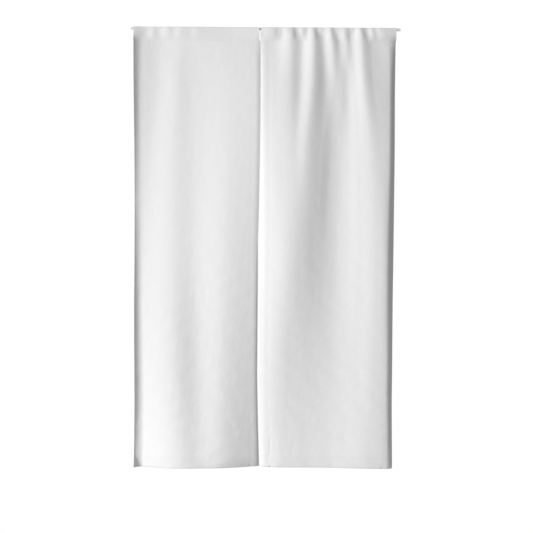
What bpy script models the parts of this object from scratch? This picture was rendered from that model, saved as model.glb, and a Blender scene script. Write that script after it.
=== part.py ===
"""Noren curtain: two white cloth panels sewn together at the top, on a thin tension rod.

X runs along the rod to the right, Z is up, and the curtain's face looks towards -Y. The origin is the
centre of the left end cap's outer face. All sizes are in metres. A "drop" is a distance measured down
from the cloth's top edge, and a "depth" is how far the cloth stands in front of the rod's axis.
"""
import math
from collections import namedtuple

import bmesh
import bpy
import numpy as np

# Rod: a thin inner tube sliding in an outer tube, with a cap pressed over each end
ROD_LENGTH = 0.872
OUTER_TUBE_RADIUS = 0.0037
INNER_TUBE_RADIUS = 0.0028
TUBE_WALL = 0.0005
OUTER_TUBE_START = 0.060
INNER_TUBE_END = 0.200
CAP_LENGTH = 0.0090
CAP_FACE = 0.0020
CAP_WALL = 0.0005
CAP_ROUNDING = 0.0010
FIT_GAP = 0.00032
ROUND_STEPS = 20
ROUNDING_STEPS = 3
WELD = 0.00001
SHARP_ANGLE = math.radians(38.0)

# Cloth
CLOTH = 0.0015
HEM_EXTRA = 0.0010
SIDE_HEM = 0.029
BOTTOM_HEM = 0.040
HEM_STEP = 0.002
POCKET_DROP = 0.046
POCKET_SEAM = 0.005
DROP = 1.4235

# The cloth lies on the rod. The gap is wide enough for the flats of the pocket's arc to clear the tube too
POCKET_GAP = 0.0005
CLOTH_RADIUS = OUTER_TUBE_RADIUS + POCKET_GAP + CLOTH / 2
TOP_Z = CLOTH_RADIUS + CLOTH / 2

# Share of a fold's depth at the seam that the pocket keeps at the rod, and how far the rod's tunnel ends
# above the seam
GATHER_SHARE = 0.45
TUNNEL_RISE = 0.002

# Where the two panels meet: drop, middle of the joint and half of the gap between the panels
Joint = namedtuple("Joint", "drop middle half_gap")
CENTRE = (
    Joint(0.000, 0.4184, 0.0020),
    Joint(0.040, 0.4184, 0.0020),
    Joint(0.046, 0.4200, 0.00015),
    Joint(0.110, 0.4202, 0.00015),
    Joint(0.297, 0.4212, 0.00015),
    Joint(0.374, 0.4216, 0.0010),
    Joint(0.432, 0.4218, 0.0020),
    Joint(0.562, 0.4214, 0.0033),
    Joint(0.691, 0.4205, 0.0050),
    Joint(0.885, 0.4193, 0.0040),
    Joint(1.128, 0.4186, 0.0038),
    Joint(1.274, 0.4218, 0.0036),
    Joint(DROP, 0.4262, 0.0034),
)

# Outer side edges: drop, left edge of the left panel and right edge of the right panel
Side = namedtuple("Side", "drop left right")
SIDES = (
    Side(0.000, 0.0107, 0.8592),
    Side(0.040, 0.0108, 0.8594),
    Side(0.050, 0.0110, 0.8586),
    Side(0.160, 0.0115, 0.8587),
    Side(0.400, 0.0129, 0.8570),
    Side(0.720, 0.0148, 0.8553),
    Side(0.885, 0.0156, 0.8535),
    Side(1.080, 0.0186, 0.8533),
    Side(1.210, 0.0203, 0.8526),
    Side(DROP, 0.0186, 0.8542),
)

# Lines of the folds that run down the cloth. Each has its place across and its depth at six levels
LEVELS = {"seam": 0.046, "upper": 0.160, "quarter": 0.400, "middle": 0.720, "lower": 1.080, "hem": DROP}
Fold = namedtuple(
    "Fold",
    "seam_x seam_d upper_x upper_d quarter_x quarter_d middle_x middle_d lower_x lower_d hem_x hem_d",
)
LEFT_FOLDS = (
    Fold(0.012, 0.0096, 0.013, 0.0060, 0.014, -0.0117, 0.016, -0.0155, 0.018, -0.0032, 0.020, -0.0080),
    Fold(0.090, 0.0016, 0.087, -0.0007, 0.060, -0.0130, 0.039, -0.0141, 0.035, -0.0002, 0.039, -0.0029),
    Fold(0.161, 0.0028, 0.155, 0.0026, 0.144, -0.0061, 0.142, -0.0010, 0.153, 0.0187, 0.169, 0.0270),
    Fold(0.184, 0.0027, 0.191, 0.0012, 0.202, -0.0068, 0.207, -0.0017, 0.221, 0.0119, 0.237, 0.0240),
    Fold(0.307, 0.0025, 0.323, 0.0052, 0.325, 0.0034, 0.314, 0.0097, 0.304, 0.0169, 0.295, 0.0239),
    Fold(0.421, 0.0014, 0.422, 0.0066, 0.422, 0.0045, 0.417, 0.0044, 0.419, 0.0010, 0.424, -0.0060),
)
RIGHT_FOLDS = (
    Fold(0.421, 0.0014, 0.422, 0.0066, 0.423, 0.0042, 0.427, 0.0013, 0.429, 0.0014, 0.431, -0.0040),
    Fold(0.468, 0.0011, 0.468, 0.0085, 0.467, 0.0129, 0.466, 0.0123, 0.463, 0.0076, 0.457, -0.0010),
    Fold(0.523, 0.0062, 0.520, 0.0111, 0.516, 0.0175, 0.508, 0.0192, 0.498, 0.0085, 0.483, 0.0019),
    Fold(0.549, 0.0001, 0.550, 0.0061, 0.538, 0.0178, 0.532, 0.0191, 0.524, 0.0065, 0.508, 0.0025),
    Fold(0.588, 0.0157, 0.589, 0.0113, 0.567, 0.0191, 0.562, 0.0148, 0.555, 0.0033, 0.538, 0.0020),
    Fold(0.624, 0.0074, 0.634, -0.0009, 0.619, 0.0079, 0.606, 0.0044, 0.598, -0.0011, 0.576, 0.0010),
    Fold(0.650, 0.0109, 0.660, -0.0005, 0.650, -0.0004, 0.636, -0.0023, 0.632, -0.0040, 0.615, 0.0005),
    Fold(0.672, 0.0038, 0.682, -0.0020, 0.675, -0.0028, 0.666, -0.0055, 0.659, -0.0048, 0.654, 0.0010),
    Fold(0.695, 0.0038, 0.702, -0.0033, 0.707, -0.0012, 0.702, -0.0035, 0.697, -0.0034, 0.693, 0.0035),
    Fold(0.714, 0.0008, 0.725, -0.0007, 0.736, 0.0041, 0.741, 0.0029, 0.736, 0.0005, 0.728, 0.0065),
    Fold(0.741, 0.0064, 0.753, 0.0053, 0.782, 0.0107, 0.799, 0.0108, 0.791, 0.0052, 0.774, 0.0075),
    Fold(0.768, 0.0006, 0.786, -0.0004, 0.816, 0.0090, 0.828, 0.0101, 0.825, 0.0042, 0.816, 0.0055),
    Fold(0.858, -0.0045, 0.858, -0.0088, 0.857, -0.0001, 0.855, -0.0009, 0.854, -0.0000, 0.854, 0.0000),
)

# How a side edge curls: how far back, over what width, and the drop at which the curl is full
Roll = namedtuple("Roll", "back width full_drop")
CENTRE_ROLL = Roll(0.0030, 0.016, 0.100)
LEFT_ROLL = Roll(-0.0030, 0.018, 0.050)
RIGHT_ROLL = Roll(0.0100, 0.028, 0.250)

# How much lower than its other side the right panel's outer corner hangs
CORNER_LOW = 0.0040

# Mesh density: columns beside an edge by their distance from it, columns between them, and rows by their drop
EDGE_COLUMNS = (0.0, 0.006, 0.013, 0.021, SIDE_HEM, SIDE_HEM + HEM_STEP)
LEFT_COLUMNS = 18
RIGHT_COLUMNS = 30
ROWS = (
    POCKET_DROP, POCKET_DROP + POCKET_SEAM,
    0.080, 0.110, 0.160, 0.215, 0.260, 0.297, 0.335, 0.374, 0.432, 0.497,
    0.562, 0.691, 0.790, 0.885, 1.005, 1.128, 1.210, 1.300,
    DROP - BOTTOM_HEM - HEM_STEP, DROP - BOTTOM_HEM, DROP,
)
LAYER_RISES = (0.30, 0.62, 0.90)
ARC_STEPS = 6

# Share of the width over which the slope of the cloth is measured
SLOPE_STEP = 0.005

# Colours
PAINT_COLOUR = (0.86, 0.86, 0.85)
PLASTIC_COLOUR = (0.84, 0.84, 0.83)
CLOTH_COLOUR = (0.80, 0.80, 0.81)


def clear_scene():
    """Remove every object that the file opened with."""
    for obj in list(bpy.data.objects):
        bpy.data.objects.remove(obj, do_unlink=True)


def finish_material(name, colour, roughness, metallic):
    """A Principled material with one colour."""
    material = bpy.data.materials.new(name)
    material.use_nodes = True
    shader = material.node_tree.nodes["Principled BSDF"]
    shader.inputs["Base Color"].default_value = (*colour, 1.0)
    shader.inputs["Roughness"].default_value = roughness
    shader.inputs["Metallic"].default_value = metallic
    return material


def add_object(name, bm, material):
    """Turn a bmesh into a smooth-shaded object in the scene."""
    bmesh.ops.recalc_face_normals(bm, faces=bm.faces)
    mesh = bpy.data.meshes.new(name)
    bm.to_mesh(mesh)
    bm.free()
    mesh.shade_smooth()
    mesh.set_sharp_from_angle(angle=SHARP_ANGLE)
    mesh.materials.append(material)
    obj = bpy.data.objects.new(name, mesh)
    bpy.context.scene.collection.objects.link(obj)
    return obj


def smooth_curve(places, values, at):
    """Read a smooth curve through the points (places, values), a cubic between each two."""
    places = np.asarray(places, float)
    values = np.asarray(values, float)
    slopes = np.gradient(values, places)
    at = min(max(at, places[0]), places[-1])
    start = min(int(np.searchsorted(places, at, side="right")) - 1, len(places) - 2)
    span = places[start + 1] - places[start]
    t = (at - places[start]) / span
    rise = t * t * (3.0 - 2.0 * t)
    leave = t * (1.0 - t) ** 2 * span * slopes[start]
    arrive = -t * t * (1.0 - t) * span * slopes[start + 1]
    return values[start] * (1.0 - rise) + values[start + 1] * rise + leave + arrive


def read_table(rows, drop, column):
    """A column of a table by drop, in straight lines between its rows."""
    return float(np.interp(drop, [row.drop for row in rows], [getattr(row, column) for row in rows]))


def fold_at(fold, drop):
    """Where one fold line lies at a drop: its place across and its depth."""
    drops = list(LEVELS.values())
    across = [getattr(fold, level + "_x") for level in LEVELS]
    depths = [getattr(fold, level + "_d") for level in LEVELS]
    return smooth_curve(drops, across, drop), smooth_curve(drops, depths, drop)


class Panel:
    """One cloth panel: its side edges, folds and hems."""

    def __init__(self, name, folds, is_left, edge_rolls, corner_low, columns):
        self.name = name
        self.folds = folds
        self.is_left = is_left
        self.edge_rolls = edge_rolls
        self.corner_low = corner_low
        self.columns = columns

    def edges(self, drop):
        """Left and right edge of the panel at a drop."""
        middle = read_table(CENTRE, drop, "middle")
        half_gap = read_table(CENTRE, drop, "half_gap")
        if self.is_left:
            return read_table(SIDES, drop, "left"), middle - half_gap
        return middle + half_gap, read_table(SIDES, drop, "right")

    def across(self, share, drop):
        """Place across of a share of the panel's width."""
        left, right = self.edges(drop)
        return left + (right - left) * share

    def height(self, share, drop):
        """Height of a point of the cloth. The right side hangs a little lower at the hem."""
        return TOP_Z - drop - self.corner_low * share ** 4 * (drop / DROP) ** 2

    def depth(self, share, drop):
        """How far the cloth stands in front of the rod's axis."""
        drop = max(drop, POCKET_DROP)
        places, depths = zip(*(fold_at(fold, drop) for fold in self.folds))
        left, right = self.edges(drop)
        across = left + (right - left) * share
        depth = smooth_curve(places, depths, across)
        for roll, inset in zip(self.edge_rolls, (across - left, right - across)):
            nearness = max(0.0, 1.0 - inset / roll.width)
            grown = min(1.0, drop / roll.full_drop)
            depth -= roll.back * grown * nearness ** 2
        return depth

    def hem_thickness(self, share, drop):
        """Extra thickness on the back where the cloth is folded over and sewn."""
        left, right = self.edges(drop)
        inset = min(share, 1.0 - share) * (right - left)
        in_side_hem = inset < SIDE_HEM + HEM_STEP / 2 and drop > POCKET_DROP + POCKET_SEAM / 2
        in_bottom_hem = drop > DROP - BOTTOM_HEM - HEM_STEP / 2
        in_pocket_seam = drop < POCKET_DROP + POCKET_SEAM / 2
        return HEM_EXTRA if in_side_hem or in_bottom_hem or in_pocket_seam else 0.0

    def sheet_point(self, share, drop, on_front):
        """A point of the single cloth below the pocket, on its front or its back."""
        left, right = self.edges(drop)
        before = max(share - SLOPE_STEP, 0.0)
        after = min(share + SLOPE_STEP, 1.0)
        slope = (self.depth(after, drop) - self.depth(before, drop)) / ((after - before) * (right - left))
        half = CLOTH / 2 * math.hypot(1.0, slope)
        offset = half if on_front else -half - self.hem_thickness(share, drop)
        return self.across(share, drop), -self.depth(share, drop) - offset, self.height(share, drop)

    def reach(self, share, on_front):
        """How far the middle of the pocket's layer stands from the rod's axis at the rod's level."""
        at_seam = self.depth(share, POCKET_DROP)
        seam_depths = [fold.seam_d for fold in self.folds]
        puff = at_seam - min(seam_depths) if on_front else max(seam_depths) - at_seam
        return CLOTH_RADIUS + GATHER_SHARE * max(puff, 0.0)

    def layer_point(self, share, rise, on_front, outside):
        """A point of the pocket's front or back layer, between the seam (0) and the rod's level (1)."""
        side = 1.0 if on_front else -1.0
        bulge = math.sin(rise * math.pi / 2)
        middle = (1.0 - bulge) * self.depth(share, POCKET_DROP) + bulge * side * self.reach(share, on_front)
        depth = middle + side * (CLOTH / 2 if outside else -CLOTH / 2)
        z = self.height(share, POCKET_DROP) * (1.0 - rise)
        return self.across(share, TOP_Z - z), -depth, z

    def arc_point(self, share, turn, outside):
        """A point of the cloth over the rod, from the front (0) to the back (1)."""
        offset = CLOTH / 2 if outside else -CLOTH / 2
        angle = math.pi * turn
        reach = self.reach(share, turn < 0.5) + offset
        z = (CLOTH_RADIUS + offset) * math.sin(angle)
        return self.across(share, TOP_Z - z), -reach * math.cos(angle), z

    def tunnel_point(self, share):
        """The lowest point of the tunnel that the rod goes through."""
        low_z = self.height(share, POCKET_DROP) + TUNNEL_RISE
        return self.across(share, POCKET_DROP), -self.depth(share, POCKET_DROP), low_z

    def section(self, share):
        """All points of the panel's section at a share of its width, in the order of section_faces."""
        front = [self.sheet_point(share, drop, True) for drop in reversed(ROWS)]
        back = [self.sheet_point(share, drop, False) for drop in reversed(ROWS)]
        loops = []
        for outside in (True, False):
            loop = [self.layer_point(share, rise, True, outside) for rise in LAYER_RISES]
            loop += [self.arc_point(share, step / ARC_STEPS, outside) for step in range(ARC_STEPS + 1)]
            loop += [self.layer_point(share, rise, False, outside) for rise in reversed(LAYER_RISES)]
            loops.append(loop)
        return front + back + loops[0] + loops[1] + [self.tunnel_point(share)]

    def shares(self):
        """Where the columns of the mesh stand, close together in the side hems."""
        left, right = self.edges(POCKET_DROP)
        near = [inset / (right - left) for inset in EDGE_COLUMNS]
        middle = np.linspace(near[-1], 1.0 - near[-1], self.columns + 2)[1:-1]
        return near + list(middle) + [1.0 - share for share in reversed(near)]


def section_faces():
    """Faces of the section as lists of point numbers: the single cloth, then the loop of the pocket."""
    rows = len(ROWS)
    loop = 2 * len(LAYER_RISES) + ARC_STEPS + 1
    front = list(range(rows))
    back = list(range(rows, 2 * rows))
    tunnel = 2 * rows + 2 * loop
    outside = [front[-1]] + list(range(2 * rows, 2 * rows + loop)) + [back[-1]]
    inside = [tunnel] + list(range(2 * rows + loop, 2 * rows + 2 * loop)) + [tunnel]
    faces = [(front[i], front[i + 1], back[i + 1], back[i]) for i in range(rows - 1)]
    faces += [(outside[i], outside[i + 1], inside[i + 1], inside[i]) for i in range(loop + 1)]
    faces.append((front[-1], tunnel, back[-1]))
    return faces


def build_panel(panel, material):
    """Extrude the section column by column across the panel."""
    bm = bmesh.new()
    place = bm.verts.layers.int.new("place")
    shares = panel.shares()
    corners = [bm.verts.new(point) for point in panel.section(shares[0])]
    for number, corner in enumerate(corners):
        corner[place] = number
    faces = [bm.faces.new([corners[number] for number in face]) for face in section_faces()]
    for share in shares[1:]:
        edges = list({edge for face in faces for edge in face.edges})
        extruded = bmesh.ops.extrude_face_region(bm, geom=faces + edges)["geom"]
        faces = [item for item in extruded if isinstance(item, bmesh.types.BMFace)]
        points = panel.section(share)
        for corner in (item for item in extruded if isinstance(item, bmesh.types.BMVert)):
            corner.co = points[corner[place]]
    return add_object(panel.name, bm, material)


def build_turned(name, profile, material):
    """Turn a profile of (along, radius) points round the rod's axis. It closes unless it ends on the axis."""
    bm = bmesh.new()
    points = [bm.verts.new((along, 0.0, radius)) for along, radius in profile]
    edges = [bm.edges.new(pair) for pair in zip(points, points[1:])]
    if profile[-1][1] > 0.0:
        edges.append(bm.edges.new((points[-1], points[0])))
    bmesh.ops.spin(bm, geom=points + edges, cent=(0, 0, 0), axis=(1, 0, 0), angle=math.tau,
                   steps=ROUND_STEPS, use_merge=True, use_duplicate=False)
    bmesh.ops.remove_doubles(bm, verts=bm.verts, dist=WELD)
    return add_object(name, bm, material)


def build_tube(name, start, end, radius, material):
    """A tube with open ends."""
    bore = radius - TUBE_WALL
    return build_turned(name, ((start, bore), (start, radius), (end, radius), (end, bore)), material)


def build_cap(name, tube_radius, face_x, inward, material):
    """A cup pressed over a tube's end. Its flat face, rounded off at the rim, presses against a jamb."""
    bore = tube_radius + FIT_GAP
    radius = bore + CAP_WALL
    rim = face_x + inward * CAP_LENGTH
    floor = face_x + inward * CAP_FACE
    profile = [(face_x, 0.0)]
    for step in range(ROUNDING_STEPS + 1):
        angle = math.pi / 2 * step / ROUNDING_STEPS
        along = CAP_ROUNDING * (1.0 - math.cos(angle))
        profile.append((face_x + inward * along, radius - CAP_ROUNDING * (1.0 - math.sin(angle))))
    profile += [(rim, radius), (rim, bore), (floor, bore), (floor, 0.0)]
    return build_turned(name, profile, material)


def build_rod():
    """The two tubes and the two end caps."""
    paint = finish_material("rod_paint", PAINT_COLOUR, 0.35, 0.0)
    plastic = finish_material("cap_plastic", PLASTIC_COLOUR, 0.45, 0.0)
    inner_start = CAP_FACE + FIT_GAP
    outer_end = ROD_LENGTH - CAP_FACE - FIT_GAP
    build_tube("rod_inner_tube", inner_start, INNER_TUBE_END, INNER_TUBE_RADIUS, paint)
    build_tube("rod_outer_tube", OUTER_TUBE_START, outer_end, OUTER_TUBE_RADIUS, paint)
    build_cap("rod_end_cap_left", INNER_TUBE_RADIUS, 0.0, 1.0, plastic)
    build_cap("rod_end_cap_right", OUTER_TUBE_RADIUS, ROD_LENGTH, -1.0, plastic)


def build_cloth():
    """The two panels."""
    cloth = finish_material("white_cloth", CLOTH_COLOUR, 0.85, 0.0)
    left = Panel("left_panel", LEFT_FOLDS, True, (LEFT_ROLL, CENTRE_ROLL), 0.0, LEFT_COLUMNS)
    right = Panel("right_panel", RIGHT_FOLDS, False, (CENTRE_ROLL, RIGHT_ROLL), CORNER_LOW, RIGHT_COLUMNS)
    for panel in (left, right):
        build_panel(panel, cloth)


clear_scene()
build_rod()
build_cloth()
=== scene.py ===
"""Noren curtain: two white cotton panels, sewn together at the top, on a thin tension rod.

X runs along the rod to the right, Z is up, and the curtain's face looks towards -Y. All sizes are in
metres. A "drop" is a distance down from the cloth's top edge, and a "depth" is how far the cloth stands
in front of the rod's axis.
"""
from __future__ import annotations

import logging
import math
from dataclasses import dataclass, field
from enum import Enum
from typing import Callable, NamedTuple, Union

import bmesh
import bpy
import numpy as np
from mathutils import Euler, Matrix, Vector

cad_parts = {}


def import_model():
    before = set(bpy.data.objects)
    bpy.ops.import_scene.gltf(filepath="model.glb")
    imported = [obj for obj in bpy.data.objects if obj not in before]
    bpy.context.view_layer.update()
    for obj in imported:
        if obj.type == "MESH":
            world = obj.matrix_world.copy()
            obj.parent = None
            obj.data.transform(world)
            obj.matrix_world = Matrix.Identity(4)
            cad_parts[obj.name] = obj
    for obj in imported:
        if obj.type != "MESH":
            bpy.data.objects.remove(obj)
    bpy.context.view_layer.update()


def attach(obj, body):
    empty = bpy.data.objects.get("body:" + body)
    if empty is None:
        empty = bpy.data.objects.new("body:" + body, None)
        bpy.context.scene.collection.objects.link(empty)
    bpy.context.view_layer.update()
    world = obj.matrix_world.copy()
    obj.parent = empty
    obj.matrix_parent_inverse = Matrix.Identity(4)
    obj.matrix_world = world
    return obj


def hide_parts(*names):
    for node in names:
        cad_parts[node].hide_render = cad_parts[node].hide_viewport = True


LOG = logging.getLogger("noren")

Link = Union["Socket", float]
Points = np.ndarray
Face = tuple[int, ...]


# --- Shared measures ---


class Side(Enum):
    """Which of the two panels a piece belongs to."""

    LEFT = "left"
    RIGHT = "right"


class Fold(NamedTuple):
    """One line of a fold down the cloth: its place across and its depth at six levels."""

    seam_x: float
    seam_d: float
    upper_x: float
    upper_d: float
    quarter_x: float
    quarter_d: float
    middle_x: float
    middle_d: float
    lower_x: float
    lower_d: float
    hem_x: float
    hem_d: float


class Joint(NamedTuple):
    """Where the two panels meet at a drop: the middle of the joint and half of the gap."""

    drop: float
    middle: float
    half_gap: float


class Sides(NamedTuple):
    """The outer side edges at a drop: the left panel's left edge and the right panel's right edge."""

    drop: float
    left: float
    right: float


class Curl(NamedTuple):
    """How a side edge curls at a drop: how far back (forward if negative), and over what width."""

    drop: float
    back: float
    width: float


class HemCurl(NamedTuple):
    """How the bottom hem curls at a share of the width: how far back, and over what height."""

    share: float
    back: float
    height: float


class Gather(NamedTuple):
    """One gather of the rod pocket: its place and its relief beside the rod and halfway to the seam."""

    top_x: float
    top_d: float
    front_x: float
    front_d: float


class Pucker(NamedTuple):
    """A short soft crease: its middle, its half lengths across and down, its tilt and its depth."""

    across: float
    drop: float
    half_width: float
    half_length: float
    tilt: float
    depth: float


class Wave(NamedTuple):
    """One soft wave over the cloth: its pace across and down, its phase and its depth."""

    pace_x: float
    pace_z: float
    phase: float
    depth: float


def rows_of(kind: type, *rows: tuple[float, ...]) -> tuple:
    """Name the numbers in the rows of a table."""
    return tuple(kind(*row) for row in rows)


DROP = 1.4235
POCKET_DROP = 0.046
ROD_RADIUS = 0.0037
TOP_Z = 0.0057
SIDE_HEM = 0.0275
BOTTOM_HEM = 0.036
HEM_TOP = DROP - BOTTOM_HEM
POCKET_REACH = 0.0060
SEWN_DROP = 0.262

# A width near that of both panels, by which columns and stitches are spaced
PANEL_WIDTH = 0.43
# How clear the pocket stays of the rod: its front layer, and its loop over the top and behind
FRONT_CLEARANCE = 0.0008
LOOP_CLEARANCE = 0.0012
# Between which rises the front layer passes from the seam's depth to the pocket's own
FRONT_SWEEP = (-0.25, 0.62)
LOOP_SQUARENESS = 0.72
# The tight turn at the very edge of the bottom hem: how far back, and over what height
EDGE_TURN_BACK = 0.0024
EDGE_TURN_HEIGHT = 0.0042
# The grooves of the stitching: their widths, the pitches of the pull beside them, and the bottom one's depth
SIDE_GROOVE_WIDTH = 0.0024
SIDE_PULL_PITCH = 0.019
BOTTOM_GROOVE_WIDTH = 0.0022
BOTTOM_PULL_PITCH = 0.023
BOTTOM_GROOVE_DEPTH = 0.00034
# Stitches: their pitch, and how far from a side edge the crosswise seams stop
STITCH_PITCH = 0.0034
STITCH_INSET = 0.006
# Shares at which the centre seam enters the left and the right panel
SEAM_SHARES = (0.9965, 0.0035)
# How far the back of the pocket and what hangs behind it are moved down on the cloth's map
BACK_MAP_SHIFT = 0.31
TUNNEL_RISE = 0.0012
MERGE_DISTANCE = 0.000001

LEVELS = np.array([0.046, 0.160, 0.400, 0.720, 1.080, DROP])
LEFT_FOLDS = rows_of(
    Fold,
    (0.012, 0.0096, 0.013, 0.006, 0.014, -0.0117, 0.016, -0.0155, 0.018, -0.0032, 0.02, -0.008),
    (0.09, 0.0016, 0.087, -0.0007, 0.06, -0.013, 0.039, -0.0141, 0.035, -0.0002, 0.039, -0.0029),
    (0.161, 0.0028, 0.155, 0.0026, 0.144, -0.0061, 0.142, -0.001, 0.153, 0.0187, 0.169, 0.027),
    (0.184, 0.0027, 0.191, 0.0012, 0.202, -0.0068, 0.207, -0.0017, 0.221, 0.0119, 0.237, 0.024),
    (0.307, 0.0025, 0.323, 0.0052, 0.325, 0.0034, 0.314, 0.0097, 0.304, 0.0169, 0.295, 0.0239),
    (0.421, 0.0014, 0.422, 0.0066, 0.422, 0.0045, 0.417, 0.0044, 0.419, 0.001, 0.424, -0.006),
)
RIGHT_FOLDS = rows_of(
    Fold,
    (0.421, 0.0014, 0.422, 0.0066, 0.423, 0.0042, 0.427, 0.0013, 0.429, 0.0014, 0.431, -0.004),
    (0.478, 0.0014, 0.468, 0.0085, 0.467, 0.0129, 0.466, 0.0123, 0.463, 0.0076, 0.457, -0.001),
    (0.517, 0.0082, 0.52, 0.0111, 0.516, 0.0175, 0.508, 0.0192, 0.498, 0.0085, 0.483, 0.0019),
    (0.556, 0.0031, 0.55, 0.0061, 0.538, 0.0178, 0.532, 0.0191, 0.524, 0.0065, 0.508, 0.0025),
    (0.591, 0.0108, 0.589, 0.0113, 0.567, 0.0191, 0.562, 0.0148, 0.555, 0.0033, 0.538, 0.002),
    (0.624, 0.0032, 0.634, -0.0009, 0.619, 0.0079, 0.606, 0.0044, 0.598, -0.0011, 0.576, 0.001),
    (0.653, 0.0076, 0.66, -0.0005, 0.65, -0.0004, 0.636, -0.0023, 0.632, -0.004, 0.615, 0.0005),
    (0.675, 0.0021, 0.682, -0.002, 0.675, -0.0028, 0.666, -0.0055, 0.659, -0.0048, 0.654, 0.001),
    (0.698, 0.0038, 0.702, -0.0033, 0.707, -0.0012, 0.702, -0.0035, 0.697, -0.0034, 0.693, 0.0035),
    (0.714, 0.0018, 0.725, -0.0007, 0.736, 0.0041, 0.741, 0.0029, 0.736, 0.0005, 0.728, 0.0065),
    (0.747, 0.0077, 0.753, 0.0053, 0.782, 0.0107, 0.799, 0.0108, 0.791, 0.0052, 0.774, 0.0075),
    (0.776, 0.0011, 0.786, -0.0004, 0.816, 0.009, 0.828, 0.0101, 0.825, 0.0042, 0.816, 0.0055),
    (0.858, -0.005, 0.858, -0.0088, 0.857, 0.0045, 0.855, 0.001, 0.854, 0.0, 0.854, 0.0),
)
JOINTS = rows_of(
    Joint,
    (0.0, 0.4184, 0.002), (0.04, 0.4184, 0.002), (0.046, 0.42, 0.00015), (0.11, 0.4202, 0.00015),
    (0.297, 0.4212, 0.00015), (0.374, 0.4216, 0.001), (0.432, 0.4218, 0.002), (0.562, 0.4214, 0.0033),
    (0.691, 0.4205, 0.005), (0.885, 0.4193, 0.004), (1.128, 0.4186, 0.0038), (1.274, 0.4218, 0.0036),
    (DROP, 0.4262, 0.0034),
)
OUTER_SIDES = rows_of(
    Sides,
    (0.0, 0.0107, 0.8592), (0.04, 0.0108, 0.8594), (0.05, 0.011, 0.8586), (0.16, 0.0115, 0.8587),
    (0.4, 0.0129, 0.857), (0.72, 0.0148, 0.8553), (0.885, 0.0156, 0.8535), (1.08, 0.0186, 0.8533),
    (1.21, 0.0203, 0.8526), (DROP, 0.0186, 0.8542),
)
LEFT_CURLS = rows_of(
    Curl,
    (0.046, -0.0087, 0.0277), (0.24, -0.0081, 0.0221), (0.56, -0.0059, 0.0229),
    (0.885, -0.0116, 0.0253), (1.18, -0.0153, 0.0298), (1.3, -0.0142, 0.0287), (1.38, -0.0134, 0.0311),
    (1.4, -0.0175, 0.0292), (DROP, -0.0225, 0.033),
)
LEFT_RIM = rows_of(
    Curl,
    (0.046, 0.0, 0.0035), (0.3, -0.0003, 0.0035), (DROP, -0.0006, 0.0035),
)
CENTRE_CURLS = rows_of(
    Curl,
    (0.046, 0.0014, 0.016), (0.1, 0.003, 0.016), (DROP, 0.003, 0.016),
)
CENTRE_RIM = rows_of(
    Curl,
    (0.7, 0.0, 0.005), (0.9, 0.0032, 0.0055), (DROP, 0.0032, 0.0055),
)
PLAIN_RIM = rows_of(
    Curl,
    (0.0, 0.0, 0.005), (DROP, 0.0004, 0.005),
)
RIGHT_CURLS = rows_of(
    Curl,
    (0.046, 0.0078, 0.028), (0.109, 0.0107, 0.0238), (0.238, 0.0132, 0.0213), (0.56, 0.014, 0.0236),
    (0.9, 0.0113, 0.0245), (1.03, 0.0119, 0.023), (1.18, 0.0129, 0.0232), (1.3, 0.0123, 0.0203),
    (1.4, 0.0086, 0.0211), (DROP, 0.0084, 0.0209),
)
LEFT_HEM_CURLS = rows_of(
    HemCurl,
    (0.0, 0.0006, 0.01), (0.42, 0.0006, 0.01), (0.5, 0.002, 0.012), (0.72, 0.0075, 0.026),
    (1.0, 0.011, 0.04),
)
RIGHT_HEM_CURLS = rows_of(
    HemCurl,
    (0.0, 0.0012, 0.014), (0.5, 0.0012, 0.014), (1.0, 0.0032, 0.024),
)
LEFT_GATHERS = rows_of(
    Gather,
    (0.011, 0.0043, 0.011, 0.0063), (0.057, -0.0016, 0.051, -0.002), (0.073, -0.001, 0.074, -0.0009),
    (0.09, -0.0022, 0.09, -0.0022), (0.122, 0.0007, 0.125, 0.0004), (0.138, 0.0, 0.135, 0.0001),
    (0.161, 0.0013, 0.161, 0.0018), (0.196, 0.0005, 0.197, 0.0007), (0.213, 0.0012, 0.216, 0.0012),
    (0.248, 0.0001, 0.255, 0.0003), (0.319, -0.0009, 0.329, -0.001), (0.418, 0.0014, 0.418, 0.0017),
)
RIGHT_GATHERS = rows_of(
    Gather,
    (0.421, -0.0017, 0.421, -0.0019), (0.462, 0.0009, 0.462, 0.0005), (0.481, -0.0012, 0.478, -0.0015),
    (0.49, -0.0009, 0.488, -0.0018), (0.507, 0.0024, 0.507, 0.003), (0.517, 0.0027, 0.517, 0.0043),
    (0.523, 0.0019, 0.523, 0.0038), (0.533, -0.0009, 0.539, -0.0015), (0.539, -0.0017, 0.546, -0.0021),
    (0.555, 0.0005, 0.556, -0.0012), (0.572, -0.0008, 0.569, -0.0009), (0.586, 0.0021, 0.585, 0.0039),
    (0.591, 0.0018, 0.591, 0.0045), (0.604, -0.0017, 0.611, -0.0025), (0.627, -0.0018, 0.621, -0.0045),
    (0.634, 0.0001, 0.629, -0.0038), (0.643, 0.002, 0.64, 0.0005), (0.647, 0.0019, 0.648, 0.0019),
    (0.656, -0.0005, 0.662, -0.002), (0.665, -0.0014, 0.669, -0.0036), (0.671, -0.0012, 0.675, -0.0031),
    (0.691, 0.0012, 0.692, 0.0008), (0.714, -0.002, 0.714, -0.0032), (0.724, -0.0013, 0.721, -0.0024),
    (0.737, 0.0028, 0.737, 0.0036), (0.741, 0.0033, 0.744, 0.005), (0.747, 0.0025, 0.751, 0.0043),
    (0.756, -0.0002, 0.763, -0.0001), (0.764, -0.0014, 0.769, -0.0008), (0.779, 0.0008, 0.782, 0.0012),
    (0.792, 0.0, 0.798, 0.0), (0.805, 0.0012, 0.814, 0.0013), (0.837, -0.0001, 0.844, -0.0013),
    (0.858, -0.002, 0.858, -0.0034),
)
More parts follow.
